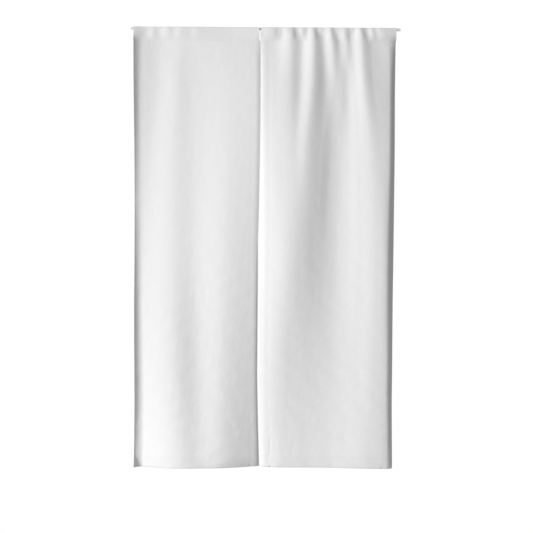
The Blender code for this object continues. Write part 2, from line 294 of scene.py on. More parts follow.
LEFT_PUCKERS = rows_of(
    Pucker,
    (0.177, 1.235, 0.004, 0.006, 0.3, -0.0005), (0.171, 1.309, 0.009, 0.004, -0.4, -0.0005),
    (0.33, 1.28, 0.012, 0.008, 0.6, -0.0009), (0.34, 1.312, 0.016, 0.006, -0.2, -0.0008),
    (0.392, 1.268, 0.006, 0.009, 0.2, -0.0005), (0.392, 1.29, 0.006, 0.006, -0.3, 0.0004),
    (0.019, 1.389, 0.01, 0.0018, 0.0, -0.001), (0.022, 1.29, 0.006, 0.01, 0.5, -0.0009),
    (0.3965, DROP, 0.003, 0.004, 0.0, -0.003),
)
RIGHT_PUCKERS = rows_of(
    Pucker,
    (0.4585, 1.352, 0.0026, 0.017, 0.0, -0.0009), (0.4575, 1.297, 0.0022, 0.006, 0.0, -0.0008),
    (0.448, 1.389, 0.011, 0.0018, 0.0, -0.0014), (0.4597, DROP, 0.0028, 0.004, 0.0, -0.0034),
    (0.8222, DROP, 0.0028, 0.004, 0.0, -0.0034), (0.554, 1.186, 0.005, 0.005, 0.0, -0.0006),
    (0.592, 1.267, 0.005, 0.012, 0.2, -0.0003), (0.531, 1.354, 0.007, 0.022, 0.25, -0.0003),
    (0.7, 1.33, 0.02, 0.012, 0.4, -0.0008), (0.836, 0.053, 0.01, 0.0022, 0.0, -0.0022),
)


# --- Small helpers ---


def smooth_rise(values: Points | float, start: float, end: float) -> Points:
    """A soft step from 0 at start to 1 at end.

    Args:
        values: Where to read the step.
        start: Where it leaves 0.
        end: Where it reaches 1.

    Returns:
        The step, as large as values.
    """
    t = np.clip((np.asarray(values, float) - start) / (end - start), 0.0, 1.0)
    return t * t * (3.0 - 2.0 * t)


def smooth_curve(places: Points, values: Points, at: Points) -> Points:
    """Read a smooth curve through points, a cubic between each two.

    Args:
        places: Places of the points, rising along the last axis.
        values: Values at the points, one row for each row of places.
        at: Where to read the curve, one row for each row of places.

    Returns:
        The values of the curve, as large as at.
    """
    slopes = np.stack([np.gradient(v, p) for p, v in zip(places, values)])
    result = np.empty_like(at)
    last = places.shape[1] - 1
    for row in range(len(places)):
        x = np.clip(at[row], places[row, 0], places[row, last])
        start = np.clip(np.searchsorted(places[row], x, side="right") - 1, 0, last - 1)
        span = places[row, start + 1] - places[row, start]
        t = (x - places[row, start]) / span
        rise = t * t * (3.0 - 2.0 * t)
        leave = t * (1.0 - t) ** 2 * span * slopes[row, start]
        arrive = -t * t * (1.0 - t) * span * slopes[row, start + 1]
        result[row] = values[row, start] * (1.0 - rise) + values[row, start + 1] * rise + leave + arrive
    return result


def read_rows(rows: tuple, at: Points, column: str) -> Points:
    """Read one column of a table by its first column, in straight lines between its rows."""
    return np.interp(at, [row[0] for row in rows], [getattr(row, column) for row in rows])


def curl_share(distance: Points, width: Points | float) -> Points:
    """How much of a curl is left at a distance from the edge: 1 at the edge, and 0 at its width."""
    return np.clip(1.0 - distance / width, 0.0, None) ** 2


def place_points(across: Points, depth: Points, height: Points | float) -> Points:
    """Join places across, depths and heights into points of the scene."""
    return np.stack([across, -depth, height + np.zeros_like(across)], axis=-1)


def hem_share(inset: Points, drops: Points, inner: float, outer: float) -> Points:
    """1 in the side hems and the bottom hem and 0 in the single cloth.

    Args:
        inset: How far each point is from the nearer side edge.
        drops: The drop of each point.
        inner: How far the soft step between them reaches into a hem.
        outer: How far it reaches into the single cloth.

    Returns:
        The share of each point.
    """
    side = 1.0 - smooth_rise(inset, SIDE_HEM - inner, SIDE_HEM + outer)
    return np.maximum(side, smooth_rise(drops, HEM_TOP - outer, HEM_TOP + inner))


def new_mesh_object(
    name: str, verts: Points | list[Vector], faces: list[Face], sharp_angle: float
) -> bpy.types.Object:
    """Make a mesh object at the origin, with all its faces turned outwards.

    Args:
        name: The object's name.
        verts: Its points, in metres.
        faces: Its faces, as point numbers.
        sharp_angle: The angle in degrees over which an edge stays sharp.

    Returns:
        The object, linked to the scene.
    """
    mesh = bpy.data.meshes.new(name)
    mesh.from_pydata([tuple(map(float, v)) for v in verts], [], faces)
    mesh.validate()
    mesh.shade_smooth()
    mesh.set_sharp_from_angle(angle=math.radians(sharp_angle))
    obj = bpy.data.objects.new(name, mesh)
    bpy.context.scene.collection.objects.link(obj)
    bm = bmesh.new()
    bm.from_mesh(mesh)
    bmesh.ops.remove_doubles(bm, verts=bm.verts, dist=MERGE_DISTANCE)
    bmesh.ops.recalc_face_normals(bm, faces=bm.faces)
    bm.to_mesh(mesh)
    bm.free()
    return obj


def dress(obj: bpy.types.Object, material: bpy.types.Material) -> None:
    """Give a piece its material, and put it on the frame."""
    obj.data.materials.clear()
    obj.data.materials.append(material)
    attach(obj, "root")


# --- The shape in which a panel hangs ---


@dataclass
class HangingShape:
    """The middle surface of one hanging panel, read anywhere on it."""

    side: Side
    folds: tuple[Fold, ...]
    curls: tuple[tuple[Curl, ...], tuple[Curl, ...]]
    rims: tuple[tuple[Curl, ...], tuple[Curl, ...]]
    hem_curls: tuple[HemCurl, ...]
    gathers: tuple[Gather, ...]
    puckers: tuple[Pucker, ...]
    corner_low: float
    side_grooves: tuple[float, float]
    seed: int
    waves: list[Wave] = field(init=False)

    def __post_init__(self) -> None:
        """Draw the soft waves that make the cloth uneven, from a fixed seed."""
        numbers = np.random.default_rng(self.seed)
        self.waves = []
        for _ in range(16):
            length = float(numbers.uniform(0.016, 0.075))
            turn = float(numbers.uniform(0.0, math.pi))
            phase = float(numbers.uniform(0.0, math.tau))
            self.waves.append(Wave(math.cos(turn) * math.tau / length, math.sin(turn) * math.tau / length,
                                   phase, 0.0072 * length / math.tau))

    def edges(self, drops: Points) -> tuple[Points, Points]:
        """Left and right edge of the panel at each drop."""
        middle = read_rows(JOINTS, drops, "middle")
        half_gap = read_rows(JOINTS, drops, "half_gap")
        if self.side is Side.LEFT:
            return read_rows(OUTER_SIDES, drops, "left"), middle - half_gap
        return middle + half_gap, read_rows(OUTER_SIDES, drops, "right")

    def across(self, shares: Points, drops: Points) -> Points:
        """Place across of a share of the panel's width, at each drop."""
        left, right = self.edges(drops)
        return left + (right - left) * shares

    def height(self, shares: Points, drops: Points) -> Points:
        """Height of each point of the cloth. The right side hangs a little lower at the hem."""
        return TOP_Z - drops - self.corner_low * shares ** 4 * (drops / DROP) ** 2

    def folds_at(self, drops: Points) -> tuple[Points, Points]:
        """Places across and depths of all fold lines, one row for each drop."""
        table = np.array(self.folds, float)
        count = len(table)
        levels = np.repeat(LEVELS[None, :], count, axis=0)
        at = np.repeat(drops[None, :], count, axis=0)
        places = smooth_curve(levels, table[:, 0::2], at)
        depths = smooth_curve(levels, table[:, 1::2], at)
        return places.T, depths.T

    def depth(self, shares: Points, drops: Points) -> Points:
        """How far each point of the cloth stands in front of the rod's axis.

        Args:
            shares: One share of the width for each column.
            drops: One drop for each row.

        Returns:
            A grid of depths, a row for each drop and a column for each share.
        """
        drops = np.maximum(drops, POCKET_DROP)
        places, depths = self.folds_at(drops)
        left, right = self.edges(drops)
        across = left[:, None] + (right - left)[:, None] * shares[None, :]
        depth = smooth_curve(places, depths, across)
        insets = (across - left[:, None], right[:, None] - across)
        for tables in (self.curls, self.rims):
            for table, inset in zip(tables, insets):
                back, width = (read_rows(table, drops, column)[:, None] for column in ("back", "width"))
                depth = depth - back * curl_share(inset, width)
        depth = depth - self.hem_curl(shares, drops)
        for pucker in self.puckers:
            depth = depth + self.pucker_depth(pucker, across, drops[:, None])
        return depth + self.hem_relief(insets, drops[:, None]) + self.unevenness(across, drops[:, None])

    def hem_curl(self, shares: Points, drops: Points) -> Points:
        """How far the bottom hem curls back, with its tight turn at the very edge."""
        back, height = (read_rows(self.hem_curls, shares, column)[None, :] for column in ("back", "height"))
        above = (DROP - drops)[:, None]
        return back * curl_share(above, height) + EDGE_TURN_BACK * curl_share(above, EDGE_TURN_HEIGHT)

    @staticmethod
    def pucker_depth(pucker: Pucker, across: Points, drops: Points) -> Points:
        """Depth that one soft crease adds to a grid of points."""
        x = across - pucker.across
        z = drops - pucker.drop
        turned_x = x * math.cos(pucker.tilt) + z * math.sin(pucker.tilt)
        turned_z = z * math.cos(pucker.tilt) - x * math.sin(pucker.tilt)
        near = np.exp(-((turned_x / pucker.half_width) ** 2) - (turned_z / pucker.half_length) ** 2)
        return pucker.depth * near

    def hem_relief(self, insets: tuple[Points, Points], drops: Points) -> Points:
        """The shallow groove that the stitching draws into the cloth, and the soft pull beside it."""
        relief = np.zeros(np.broadcast(insets[0], drops).shape)
        for inset, strength in zip(insets, self.side_grooves):
            groove = np.exp(-((inset - SIDE_HEM) / SIDE_GROOVE_WIDTH) ** 2)
            bend = 2.0 * np.sin(drops * 23.0 + inset * 40.0)
            pull = 0.6 + 0.4 * np.sin(drops * 2.0 * math.pi / SIDE_PULL_PITCH + bend)
            relief -= strength * groove * pull * smooth_rise(drops, POCKET_DROP, POCKET_DROP + 0.02)
        groove = np.exp(-((drops - HEM_TOP) / BOTTOM_GROOVE_WIDTH) ** 2)
        bend = 2.0 * np.sin(insets[0] * 31.0)
        pull = 0.65 + 0.35 * np.sin(insets[0] * 2.0 * math.pi / BOTTOM_PULL_PITCH + bend)
        return relief - BOTTOM_GROOVE_DEPTH * groove * pull

    def unevenness(self, across: Points, drops: Points) -> Points:
        """Soft unevenness of washed cotton, stronger towards the hem."""
        total = np.zeros(np.broadcast(across, drops).shape)
        for wave in self.waves:
            total += wave.depth * np.sin(across * wave.pace_x + drops * wave.pace_z + wave.phase)
        return total * (0.45 + 0.55 * smooth_rise(drops, 0.45, 1.1))

    def gather_relief(self, across: Points, halfway: float) -> Points:
        """Relief of the pocket's gathers: beside the rod (halfway 0), or halfway to the seam (1)."""
        table = np.array(self.gathers, float)
        places = table[:, 0] * (1.0 - halfway) + table[:, 2] * halfway
        relief = table[:, 1] * (1.0 - halfway) + table[:, 3] * halfway
        return smooth_curve(places[None, :], relief[None, :], across[None, :])[0]

    def gathered(self, across: Points) -> Points:
        """How tightly the pocket's seam is gathered at a place: 1 is tight, and 0 lies flat."""
        if self.side is Side.LEFT:
            return 1.0 - 0.85 * smooth_rise(across, 0.17, 0.24)
        return 0.35 + 0.65 * smooth_rise(across, 0.47, 0.52)


# --- Meshes of the cloth ---


@dataclass
class ClothPanel:
    """One cotton panel with its rod pocket, hems and sewing."""

    shape: HangingShape
    columns: int
    flat: tuple[float, float]
    thickness: float = 0.0009
    hem_extra: float = 0.0009
    row_step: float = 0.0062

    @property
    def node(self) -> str:
        """Name of the CAD node that this panel stands for."""
        return f"{self.shape.side.value}_panel"

    def column_shares(self) -> Points:
        """Shares of the width at which columns stand, close together in the side hems."""
        near = np.linspace(0.0, SIDE_HEM + 0.006, 15) / PANEL_WIDTH
        middle = np.linspace(near[-1], 1.0 - near[-1], self.columns + 2)[1:-1]
        return np.concatenate([near, middle, 1.0 - near[::-1]])

    def row_drops(self) -> Points:
        """Drops at which rows stand below the pocket, close together at the two seams."""
        band = 0.008
        top = np.linspace(POCKET_DROP, POCKET_DROP + 0.012, 7)
        middle = np.linspace(top[-1], HEM_TOP - band, int((HEM_TOP - band - top[-1]) / self.row_step))
        seam = np.linspace(HEM_TOP - band, HEM_TOP + band, 9)
        hem = np.linspace(HEM_TOP + band, DROP - 0.006, 9)
        return np.concatenate([top, middle[1:], seam[1:], hem[1:], np.linspace(DROP - 0.0048, DROP, 7)])

    def seam_gather(self, shares: Points, drops: Points) -> Points:
        """Fine uneven tucks that the pocket's seam pulls into the cloth, fading up and down from it."""
        across = self.shape.across(shares[None, :], drops[:, None])
        near = np.exp(-np.abs(drops[:, None] - POCKET_DROP) / 0.009)
        bend = 1.4 * np.sin(across * 83.0) + 2.1 * np.sin(across * 37.0 + 0.7)
        tucks = np.sin(across * 490.0 + bend) * (0.55 + 0.45 * np.sin(across * 97.0 + 2.0))
        return 0.00013 * near * tucks * self.shape.gathered(across)

    def middle(self, shares: Points, drops: Points) -> tuple[Points, Points, Points]:
        """Places across, depths and heights of the cloth's middle, a row for each drop."""
        across = self.shape.across(shares[None, :], drops[:, None])
        depth = self.shape.depth(shares, drops) + self.seam_gather(shares, drops)
        return across, depth, self.shape.height(shares[None, :], drops[:, None])

    def sheet_rows(self, shares: Points, drops: Points) -> list[Points]:
        """Front and back points of the single cloth below the pocket.

        Args:
            shares: Shares of the width, one for each column.
            drops: Drops, one for each row.

        Returns:
            Two grids of points, each rows by columns by 3.
        """
        across, depth, height = self.middle(shares, drops)
        normals_x, normals_d, normals_z = self.normals(across, depth, height)
        half = self.thickness / 2.0
        offsets = (half, -(half + self.hem_extra * self.hem_mask(shares, drops)))
        return [place_points(across + normals_x * offset, depth + normals_d * offset,
                             height + normals_z * offset) for offset in offsets]

    @staticmethod
    def normals(across: Points, depth: Points, height: Points) -> tuple[Points, Points, Points]:
        """Unit normals of a grid of cloth, towards the front, as across, depth and height parts."""
        slope_x = np.gradient(depth, axis=1) / np.gradient(across, axis=1)
        slope_z = np.gradient(depth, axis=0) / np.gradient(height, axis=0)
        size = np.sqrt(1.0 + slope_x ** 2 + slope_z ** 2)
        return -slope_x / size, 1.0 / size, -slope_z / size

    def hem_mask(self, shares: Points, drops: Points) -> Points:
        """1 where the cloth is folded over and sewn, and 0 in the single cloth."""
        left, right = self.shape.edges(drops)
        inset = np.minimum(shares, 1.0 - shares)[None, :] * (right - left)[:, None]
        pocket = 1.0 - smooth_rise(drops, POCKET_DROP, POCKET_DROP + 0.005)[:, None]
        return np.maximum(hem_share(inset, drops[:, None], 0.0005, 0.0015), pocket)

    def pocket_loops(self, shares: Points) -> list[Points]:
        """Outer and inner points of the pocket's loop, from the front seam over the rod to the back.

        Args:
            shares: Shares of the width, one for each column.

        Returns:
            Two grids of points, each steps by columns by 3.
        """
        _, depth, z = (grid[0] for grid in self.middle(shares, np.array([POCKET_DROP])))
        back = self.pocket_back(shares)
        rises = np.linspace(0.0, 1.0, 14)[1:-1]
        turns = np.linspace(0.0, 1.0, 17)
        loops = []
        for offset in (self.thickness / 2.0, -self.thickness / 2.0):
            rows = [self.front_row(shares, rise, depth, z, offset) for rise in rises]
            rows += [self.arc_row(shares, turn, back, offset) for turn in turns]
            rows += [self.back_row(shares, rise, depth, back, z, offset) for rise in rises[::-1]]
            loops.append(np.stack(rows))
        return loops

    def pocket_front(self, across: Points, halfway: float) -> Points:
        """How far the pocket's front layer stands in front of the rod's axis, always clear of the rod."""
        clear = (ROD_RADIUS + FRONT_CLEARANCE) * (1.0 - halfway)
        return np.maximum(POCKET_REACH + self.shape.gather_relief(across, halfway), clear)

    def pocket_back(self, shares: Points) -> Points:
        """How far the pocket's back layer stands behind the rod's axis, with soft gathers of its own."""
        across = self.shape.across(shares, np.array([0.010]))
        soft = 0.0012 * (1.0 + np.sin(across * 118.0 + 1.6 * np.sin(across * 41.0)))
        return ROD_RADIUS + LOOP_CLEARANCE + soft * self.shape.gathered(across)

    def front_row(self, shares: Points, rise: float, seam_depth: Points, seam_z: Points,
                  offset: float) -> Points:
        """One row of points up the pocket's front layer, from the seam (0) to the rod (1)."""
        z = seam_z * (1.0 - rise)
        across = self.shape.across(shares, TOP_Z - z)
        front = self.pocket_front(across, float(1.0 - smooth_rise(rise, 0.35, 1.0)))
        own, own_at_seam = (float(smooth_rise(value, *FRONT_SWEEP)) for value in (rise, 0.0))
        middle = seam_depth * (1.0 - own) + front * own
        middle = middle + (seam_depth - front) * own_at_seam * (1.0 - rise) ** 6
        return place_points(across, middle + offset, z)

    def back_row(self, shares: Points, rise: float, seam_depth: Points, back: Points, seam_z: Points,
                 offset: float) -> Points:
        """One row of points up the pocket's back layer, from the seam (0) to the rod (1)."""
        bulge = math.sin(rise * math.pi / 2.0)
        z = seam_z * (1.0 - rise)
        across = self.shape.across(shares, TOP_Z - z)
        return place_points(across, (1.0 - bulge) * seam_depth - bulge * back - offset, z)

    def arc_row(self, shares: Points, turn: float, back: Points, offset: float) -> Points:
        """One row of points over the rod, from the front (0) to the back (1)."""
        angle = math.pi * turn
        across = self.shape.across(shares, np.array([0.0]))
        reach = self.pocket_front(across, 0.0) if turn < 0.5 else back
        bumps = 0.00028 * np.sin(across * 210.0 + 1.8 * np.sin(across * 57.0)) * self.shape.gathered(across)
        lift = ROD_RADIUS + LOOP_CLEARANCE + bumps + offset
        forward = math.copysign(abs(math.cos(angle)) ** LOOP_SQUARENESS, math.cos(angle))
        return place_points(across, (reach + offset) * forward, lift * math.sin(angle) ** LOOP_SQUARENESS)

    def build_cloth(self) -> bpy.types.Object:
        """Build the whole cloth as one closed shell: single cloth, hems, and the pocket over the rod.

        Returns:
            The cloth's object, with a UV map in metres and an attribute that marks its doubled pocket and
            hems, where the cotton's colour holds painted shade.
        """
        shares, drops = self.column_shares(), self.row_drops()
        front, back = self.sheet_rows(shares, drops)
        outer, inner = self.pocket_loops(shares)
        columns = len(shares)
        # Rows of the closed section: up the front, over the pocket, and down the back of the cloth
        section_out = np.concatenate([front[::-1], outer, back])
        tunnel = 0.5 * (front[:1] + back[:1]) + np.array([0.0, 0.0, TUNNEL_RISE])
        section_in = np.concatenate([tunnel, inner])
        out_rows, in_rows = len(section_out), len(section_in)
        verts = np.concatenate([section_out.reshape(-1, 3), section_in.reshape(-1, 3)])
        faces: list[Face] = []
        for row in range(out_rows):
            faces += self.strip(row * columns, (row + 1) % out_rows * columns, columns)
        base = out_rows * columns
        for row in range(in_rows):
            faces += self.strip(base + (row + 1) % in_rows * columns, base + row * columns, columns)
        for column in (0, columns - 1):
            faces += self.end_faces(column, columns, len(drops), out_rows, in_rows, column == 0)
        obj = new_mesh_object(f"{self.shape.side.value}_cloth", verts, faces, 60.0)
        self.write_cloth_layers(obj.data)
        return obj

    @staticmethod
    def strip(lower: int, upper: int, columns: int) -> list[Face]:
        """Faces between two rows of points."""
        return [(lower + i, lower + i + 1, upper + i + 1, upper + i) for i in range(columns - 1)]

    @staticmethod
    def end_faces(column: int, columns: int, rows: int, out_rows: int, in_rows: int,
                  first: bool) -> list[Face]:
        """Faces that close a side edge of the cloth: the single cloth, then the pocket's loop.

        Args:
            column: The column that is closed.
            columns: The number of columns.
            rows: The rows of the single cloth.
            out_rows: The rows of the outer loop.
            in_rows: The rows of the inner loop.
            first: Whether this is the left edge, whose faces turn the other way.

        Returns:
            The faces, as point numbers.
        """
        def outer(row: int) -> int:
            """Number of this column's point in a row of the outer loop."""
            return row * columns + column

        def inner(row: int) -> int:
            """Number of this column's point in a row of the inner loop."""
            return (out_rows + row % in_rows) * columns + column

        faces = []
        for row in range(rows - 1):
            faces.append((outer(row), outer(row + 1), outer(out_rows - 2 - row), outer(out_rows - 1 - row)))
        loop = out_rows - 2 * rows
        faces.append((outer(rows - 1), inner(0), outer(rows + loop)))
        for step in range(loop + 1):
            faces.append((outer(rows - 1 + step), outer(rows + step), inner(step + 1), inner(step)))
        return [face[::-1] for face in faces] if first else faces

    def write_cloth_layers(self, mesh: bpy.types.Mesh) -> None:
        """Write the UV map, in metres on the cloth, and the attribute that marks where the cloth is doubled,
        for the painted shade in its colour.
        """
        points = np.empty(len(mesh.vertices) * 3)
        mesh.vertices.foreach_get("co", points)
        points = points.reshape(-1, 3)
        run = TOP_Z - points[:, 2]
        left, right = self.shape.edges(np.clip(run, 0.0, DROP))
        share = (points[:, 0] - left) / (right - left)
        u = share * self.flat[0]
        v = run + np.where(points[:, 1] > 0.004, BACK_MAP_SHIFT, 0.0)
        inset = np.minimum(share, 1.0 - share) * (right - left)
        # Share of painted shade in the colour: 1 where the cloth is doubled, in the pocket and the hems
        doubled = np.where(run < POCKET_DROP, 1.0, hem_share(inset, run, 0.0008, 0.0008))
        attribute = mesh.attributes.new("doubled", "FLOAT", "POINT")
        attribute.data.foreach_set("value", doubled.astype(np.float32))
        layer = mesh.uv_layers.new(name="cloth")
        corners = np.empty(len(mesh.loops), dtype=np.int32)
        mesh.loops.foreach_get("vertex_index", corners)
        uv = np.stack([u[corners], v[corners]], axis=-1)
        layer.data.foreach_set("uv", uv.ravel().astype(np.float32))

    def surface_frame(self, share: float, drop: float, crosswise: bool,
                      front: bool) -> tuple[Vector, Vector, Vector]:
        """A point on the cloth, the direction of a seam there, and the outward normal.

        Args:
            share: Share of the width.
            drop: Drop of the point.
            crosswise: Whether the seam runs across the cloth, and not down it.
            front: Whether the point is on the front of the cloth.

        Returns:
            The point, the seam's direction and the normal.
        """
        shares = np.array([share - 0.002, share, share + 0.002])
        drops = np.array([drop - 0.001, drop, drop + 0.001])
        grid = place_points(*self.middle(shares, drops))
        along_x = Vector(grid[1, 2] - grid[1, 0]).normalized()
        along_z = Vector(grid[2, 1] - grid[0, 1]).normalized()
        normal = along_x.cross(along_z).normalized()
        if normal.y > 0.0:
            normal = -normal
        middle = Vector(grid[1, 1])
        half = self.thickness / 2.0
        extra = float(self.hem_mask(np.array([share]), np.array([drop]))[0, 0]) * self.hem_extra
        point = middle + normal * half if front else middle - normal * (half + extra)
        return point, along_x if crosswise else along_z, normal if front else -normal

    def build_stitching(self) -> bpy.types.Object:
        """All visible stitches of this panel as one mesh, on its front and its back.

        Returns:
            The stitches' object.
        """
        frames = []
        for front in (True, False):
            inset = STITCH_INSET / PANEL_WIDTH
            for share in np.arange(inset, 1.0 - inset, STITCH_PITCH / PANEL_WIDTH):
                for drop in (POCKET_DROP + 0.0012, HEM_TOP + 0.0014):
                    frames.append(self.surface_frame(float(share), drop, True, front))
            for drop in np.arange(POCKET_DROP + 0.006, HEM_TOP - 0.002, STITCH_PITCH * 1.25):
                left, right = self.shape.edges(np.array([drop]))
                inset = float((SIDE_HEM - 0.0012) / (right - left)[0])
                for share in (inset, 1.0 - inset):
                    frames.append(self.surface_frame(share, float(drop), False, front))
        return StitchRow(f"{self.shape.side.value}_stitching").build(frames)

    def build(self, cloth: bpy.types.Material, thread: bpy.types.Material) -> None:
        """Build the panel's pieces, dress them and put them on the frame."""
        piece = self.build_cloth()
        stitches = self.build_stitching()
        dress(piece, cloth)
        dress(stitches, thread)
        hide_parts(self.node)
        LOG.info("%s: %d faces", piece.name, len(piece.data.polygons))


@dataclass
class StitchRow:
    """A row of small thread stitches that lie on the cloth."""

    name: str
    length: float = 0.0026
    width: float = 0.00036
    rise: float = 0.00022

    def build(self, frames: list[tuple[Vector, Vector, Vector]]) -> bpy.types.Object:
        """Copy one small stitch to each frame.

        Args:
            frames: Point, direction and normal of each stitch.

        Returns:
            One object with all the stitches.
        """
        profile = ((-0.5, 0.15), (-0.25, 0.9), (0.25, 0.9), (0.5, 0.15))
        ring = ((-1.0, 0.0), (0.0, 1.0), (1.0, 0.0), (0.0, -1.0))
        verts: list[Vector] = []
        faces: list[Face] = []
        for point, direction, normal in frames:
            side = direction.cross(normal).normalized()
            base = len(verts)
            for along, swell in profile:
                centre = point + direction * (along * self.length) + normal * (self.rise * 0.35 * swell)
                for across, up in ring:
                    offset = side * (across * self.width * 0.5 * swell)
                    verts.append(centre + (offset + normal * (up * self.rise * 0.5 * swell)))
            for start in (base, base + 4, base + 8):
                for corner in range(4):
                    low, high = start + corner, start + (corner + 1) % 4
                    faces.append((low, high, high + 4, low + 4))
            faces.append((base + 3, base + 2, base + 1, base))
            faces.append((base + 12, base + 13, base + 14, base + 15))
        return new_mesh_object(self.name, verts, faces, 80.0)


@dataclass
class CentreSeam:
    """The hand-sewn thread that joins the two panels over the top of the slit."""

    left: ClothPanel
    right: ClothPanel
    pitch: float = 0.0046
    slant: float = 0.0012
    tack_pitch: float = 0.0007

    def build(self, thread: bpy.types.Material) -> bpy.types.Object:
        """Build the small slanted stitches across the joint, and a bar tack at its foot.

        Returns:
            The stitches' object.
        """
        drops = np.arange(POCKET_DROP + 0.004, SEWN_DROP, self.pitch)
        rows = [(float(drop), float(drop + self.slant)) for drop in drops]
        rows += [(SEWN_DROP + step * self.tack_pitch,) * 2 for step in range(4)]
        frames = []
        for left_drop, right_drop in rows:
            left, _, normal = self.left.surface_frame(SEAM_SHARES[0], left_drop, True, True)
            right, _, _ = self.right.surface_frame(SEAM_SHARES[1], right_drop, True, True)
            frames.append(((left + right) / 2.0, (right - left).normalized(), normal))
        obj = StitchRow("centre_seam", length=0.0036, width=0.00045, rise=0.0003).build(frames)
        dress(obj, thread)
        return obj


# --- The rod ---


@dataclass
class TensionRod:
    """The rod: two painted steel tubes, and a moulded cap over each end."""

    length: float = 0.872
    segments: int = 48
    inner_radius: float = 0.0028
    inner_end: float = 0.200
    outer_radius: float = ROD_RADIUS
    outer_start: float = 0.060
    wall: float = 0.0005
    fit_gap: float = 0.00032
    cap_length: float = 0.009
    cap_face: float = 0.002
    cap_wall: float = 0.0005
    corner_round: float = 0.001
    dish_inset: float = 0.0008
    dish_depth: float = 0.0004
    groove_places: tuple[float, float] = (0.0032, 0.0050)
    groove_steps: tuple[float, float, float, float] = (0.0, 0.0002, 0.0006, 0.0008)
    groove_depth: float = 0.0002

    def bar(self, name: str, start: float, end: float, radius: float) -> bpy.types.Object:
        """Add a round bar along the rod's axis, and enter edit mode on it."""
        bpy.ops.object.select_all(action="DESELECT")
        bpy.ops.mesh.primitive_cylinder_add(vertices=self.segments, radius=radius, depth=end - start,
                                            location=((start + end) / 2.0, 0.0, 0.0),
                                            rotation=(0.0, math.pi / 2.0, 0.0))
        bar = bpy.context.object
        bar.name = name
        bpy.ops.object.transform_apply(location=True, rotation=True, scale=True)
        bpy.ops.object.mode_set(mode="EDIT")
        return bar

    @staticmethod
    def select(obj: bpy.types.Object, kind: str, chosen: Callable[..., bool]) -> None:
        """In edit mode, select only the faces ("FACE") or the edges ("EDGE") that are chosen."""
        bpy.ops.mesh.select_all(action="DESELECT")
        bpy.ops.mesh.select_mode(type=kind)
        bm = bmesh.from_edit_mesh(obj.data)
        for element in bm.faces if kind == "FACE" else bm.edges:
            element.select_set(chosen(element))
        bmesh.update_edit_mesh(obj.data)

    def select_end(self, obj: bpy.types.Object, place: float, reach: float) -> None:
        """In edit mode, select only the end faces within reach of a place on X."""
        self.select(obj, "FACE", lambda face: abs(face.normal.x) > 0.9
                    and place - reach <= face.calc_center_median().x <= place + reach)

    @staticmethod
    def soften(obj: bpy.types.Object, width: float) -> None:
        """Leave edit mode, round the sharp edges a little and shade the piece smooth."""
        bpy.ops.mesh.select_all(action="SELECT")
        bpy.ops.mesh.remove_doubles(threshold=0.000002)
        bpy.ops.mesh.normals_make_consistent(inside=False)
        bpy.ops.object.mode_set(mode="OBJECT")
        bpy.ops.object.select_all(action="DESELECT")
        obj.select_set(True)
        bpy.context.view_layer.objects.active = obj
        modifier = obj.modifiers.new("soft_edges", "BEVEL")
        modifier.width = width
        modifier.segments = 2
        modifier.limit_method = "ANGLE"
        modifier.angle_limit = math.radians(40.0)
        bpy.ops.object.modifier_apply(modifier="soft_edges")
        bpy.ops.object.shade_smooth_by_angle(angle=math.radians(40.0))

    def tube(self, name: str, start: float, end: float, radius: float) -> bpy.types.Object:
        """A drawn steel tube with a real bore and softened ends.

        Args:
            name: The piece's name.
            start: Its left end on the rod.
            end: Its right end on the rod.
            radius: Its outer radius.

        Returns:
            The tube.
        """
        tube = self.bar(name, start, end, radius)
        self.select_end(tube, (start + end) / 2.0, end - start)
        bpy.ops.mesh.inset(thickness=self.wall, use_individual=True)
        bpy.ops.mesh.bridge_edge_loops()
        self.soften(tube, 0.00012)
        return tube

    def cap(self, name: str, tube_radius: float, face: float, inward: float) -> bpy.types.Object:
        """A moulded cup over a tube's end, with two grip grooves and a shallow dish in its face.

        Args:
            name: The piece's name.
            tube_radius: Radius of the tube in it.
            face: Place of its outer face on the rod.
            inward: 1 where the rod runs towards +X from the face, and -1 where it runs towards -X.

        Returns:
            The cap.
        """
        bore = tube_radius + self.fit_gap
        radius = bore + self.cap_wall
        rim = face + inward * self.cap_length
        cap = self.bar(name, min(face, rim), max(face, rim), radius)
        # The cup: the rim's wall, then the hollow for the tube
        self.select_end(cap, rim, 1e-4)
        bpy.ops.mesh.inset(thickness=self.cap_wall)
        depth = -inward * (self.cap_length - self.cap_face)
        bpy.ops.mesh.extrude_region_move(TRANSFORM_OT_translate={"value": (depth, 0.0, 0.0)})

        def on_corner(edge: bmesh.types.BMEdge) -> bool:
            """Whether an edge lies on the ring around the outer face."""
            return all(abs(v.co.x - face) < 1e-5 and abs(math.hypot(v.co.y, v.co.z) - radius) < 5e-5
                       for v in edge.verts)

        # The rounded outer corner, then the dish
        self.select(cap, "EDGE", on_corner)
        bpy.ops.mesh.bevel(offset=self.corner_round, segments=4, affect="EDGES")
        self.select_end(cap, face, 1e-5)
        bpy.ops.mesh.inset(thickness=self.dish_inset)
        dish = (inward * self.dish_depth, 0.0, 0.0)
        bpy.ops.mesh.extrude_region_move(TRANSFORM_OT_translate={"value": dish})
        for place in self.groove_places:
            self.cut_groove(cap, [face + inward * (place + step) for step in self.groove_steps], radius)
        self.soften(cap, 0.00006)
        return cap

    def cut_groove(self, cap: bpy.types.Object, cuts: list[float], radius: float) -> None:
        """In edit mode, sink one grip groove into a cap, between the second and the third of four cuts."""
        low, high = sorted(cuts[1:3])
        inside = radius - self.cap_wall + self.groove_depth

        def in_groove(face: bmesh.types.BMFace) -> bool:
            """Whether a face of the outer side lies in the groove."""
            centre = face.calc_center_median()
            outside = math.hypot(centre.y, centre.z) > inside
            return low - 1e-6 <= centre.x <= high + 1e-6 and outside and abs(face.normal.x) < 0.5

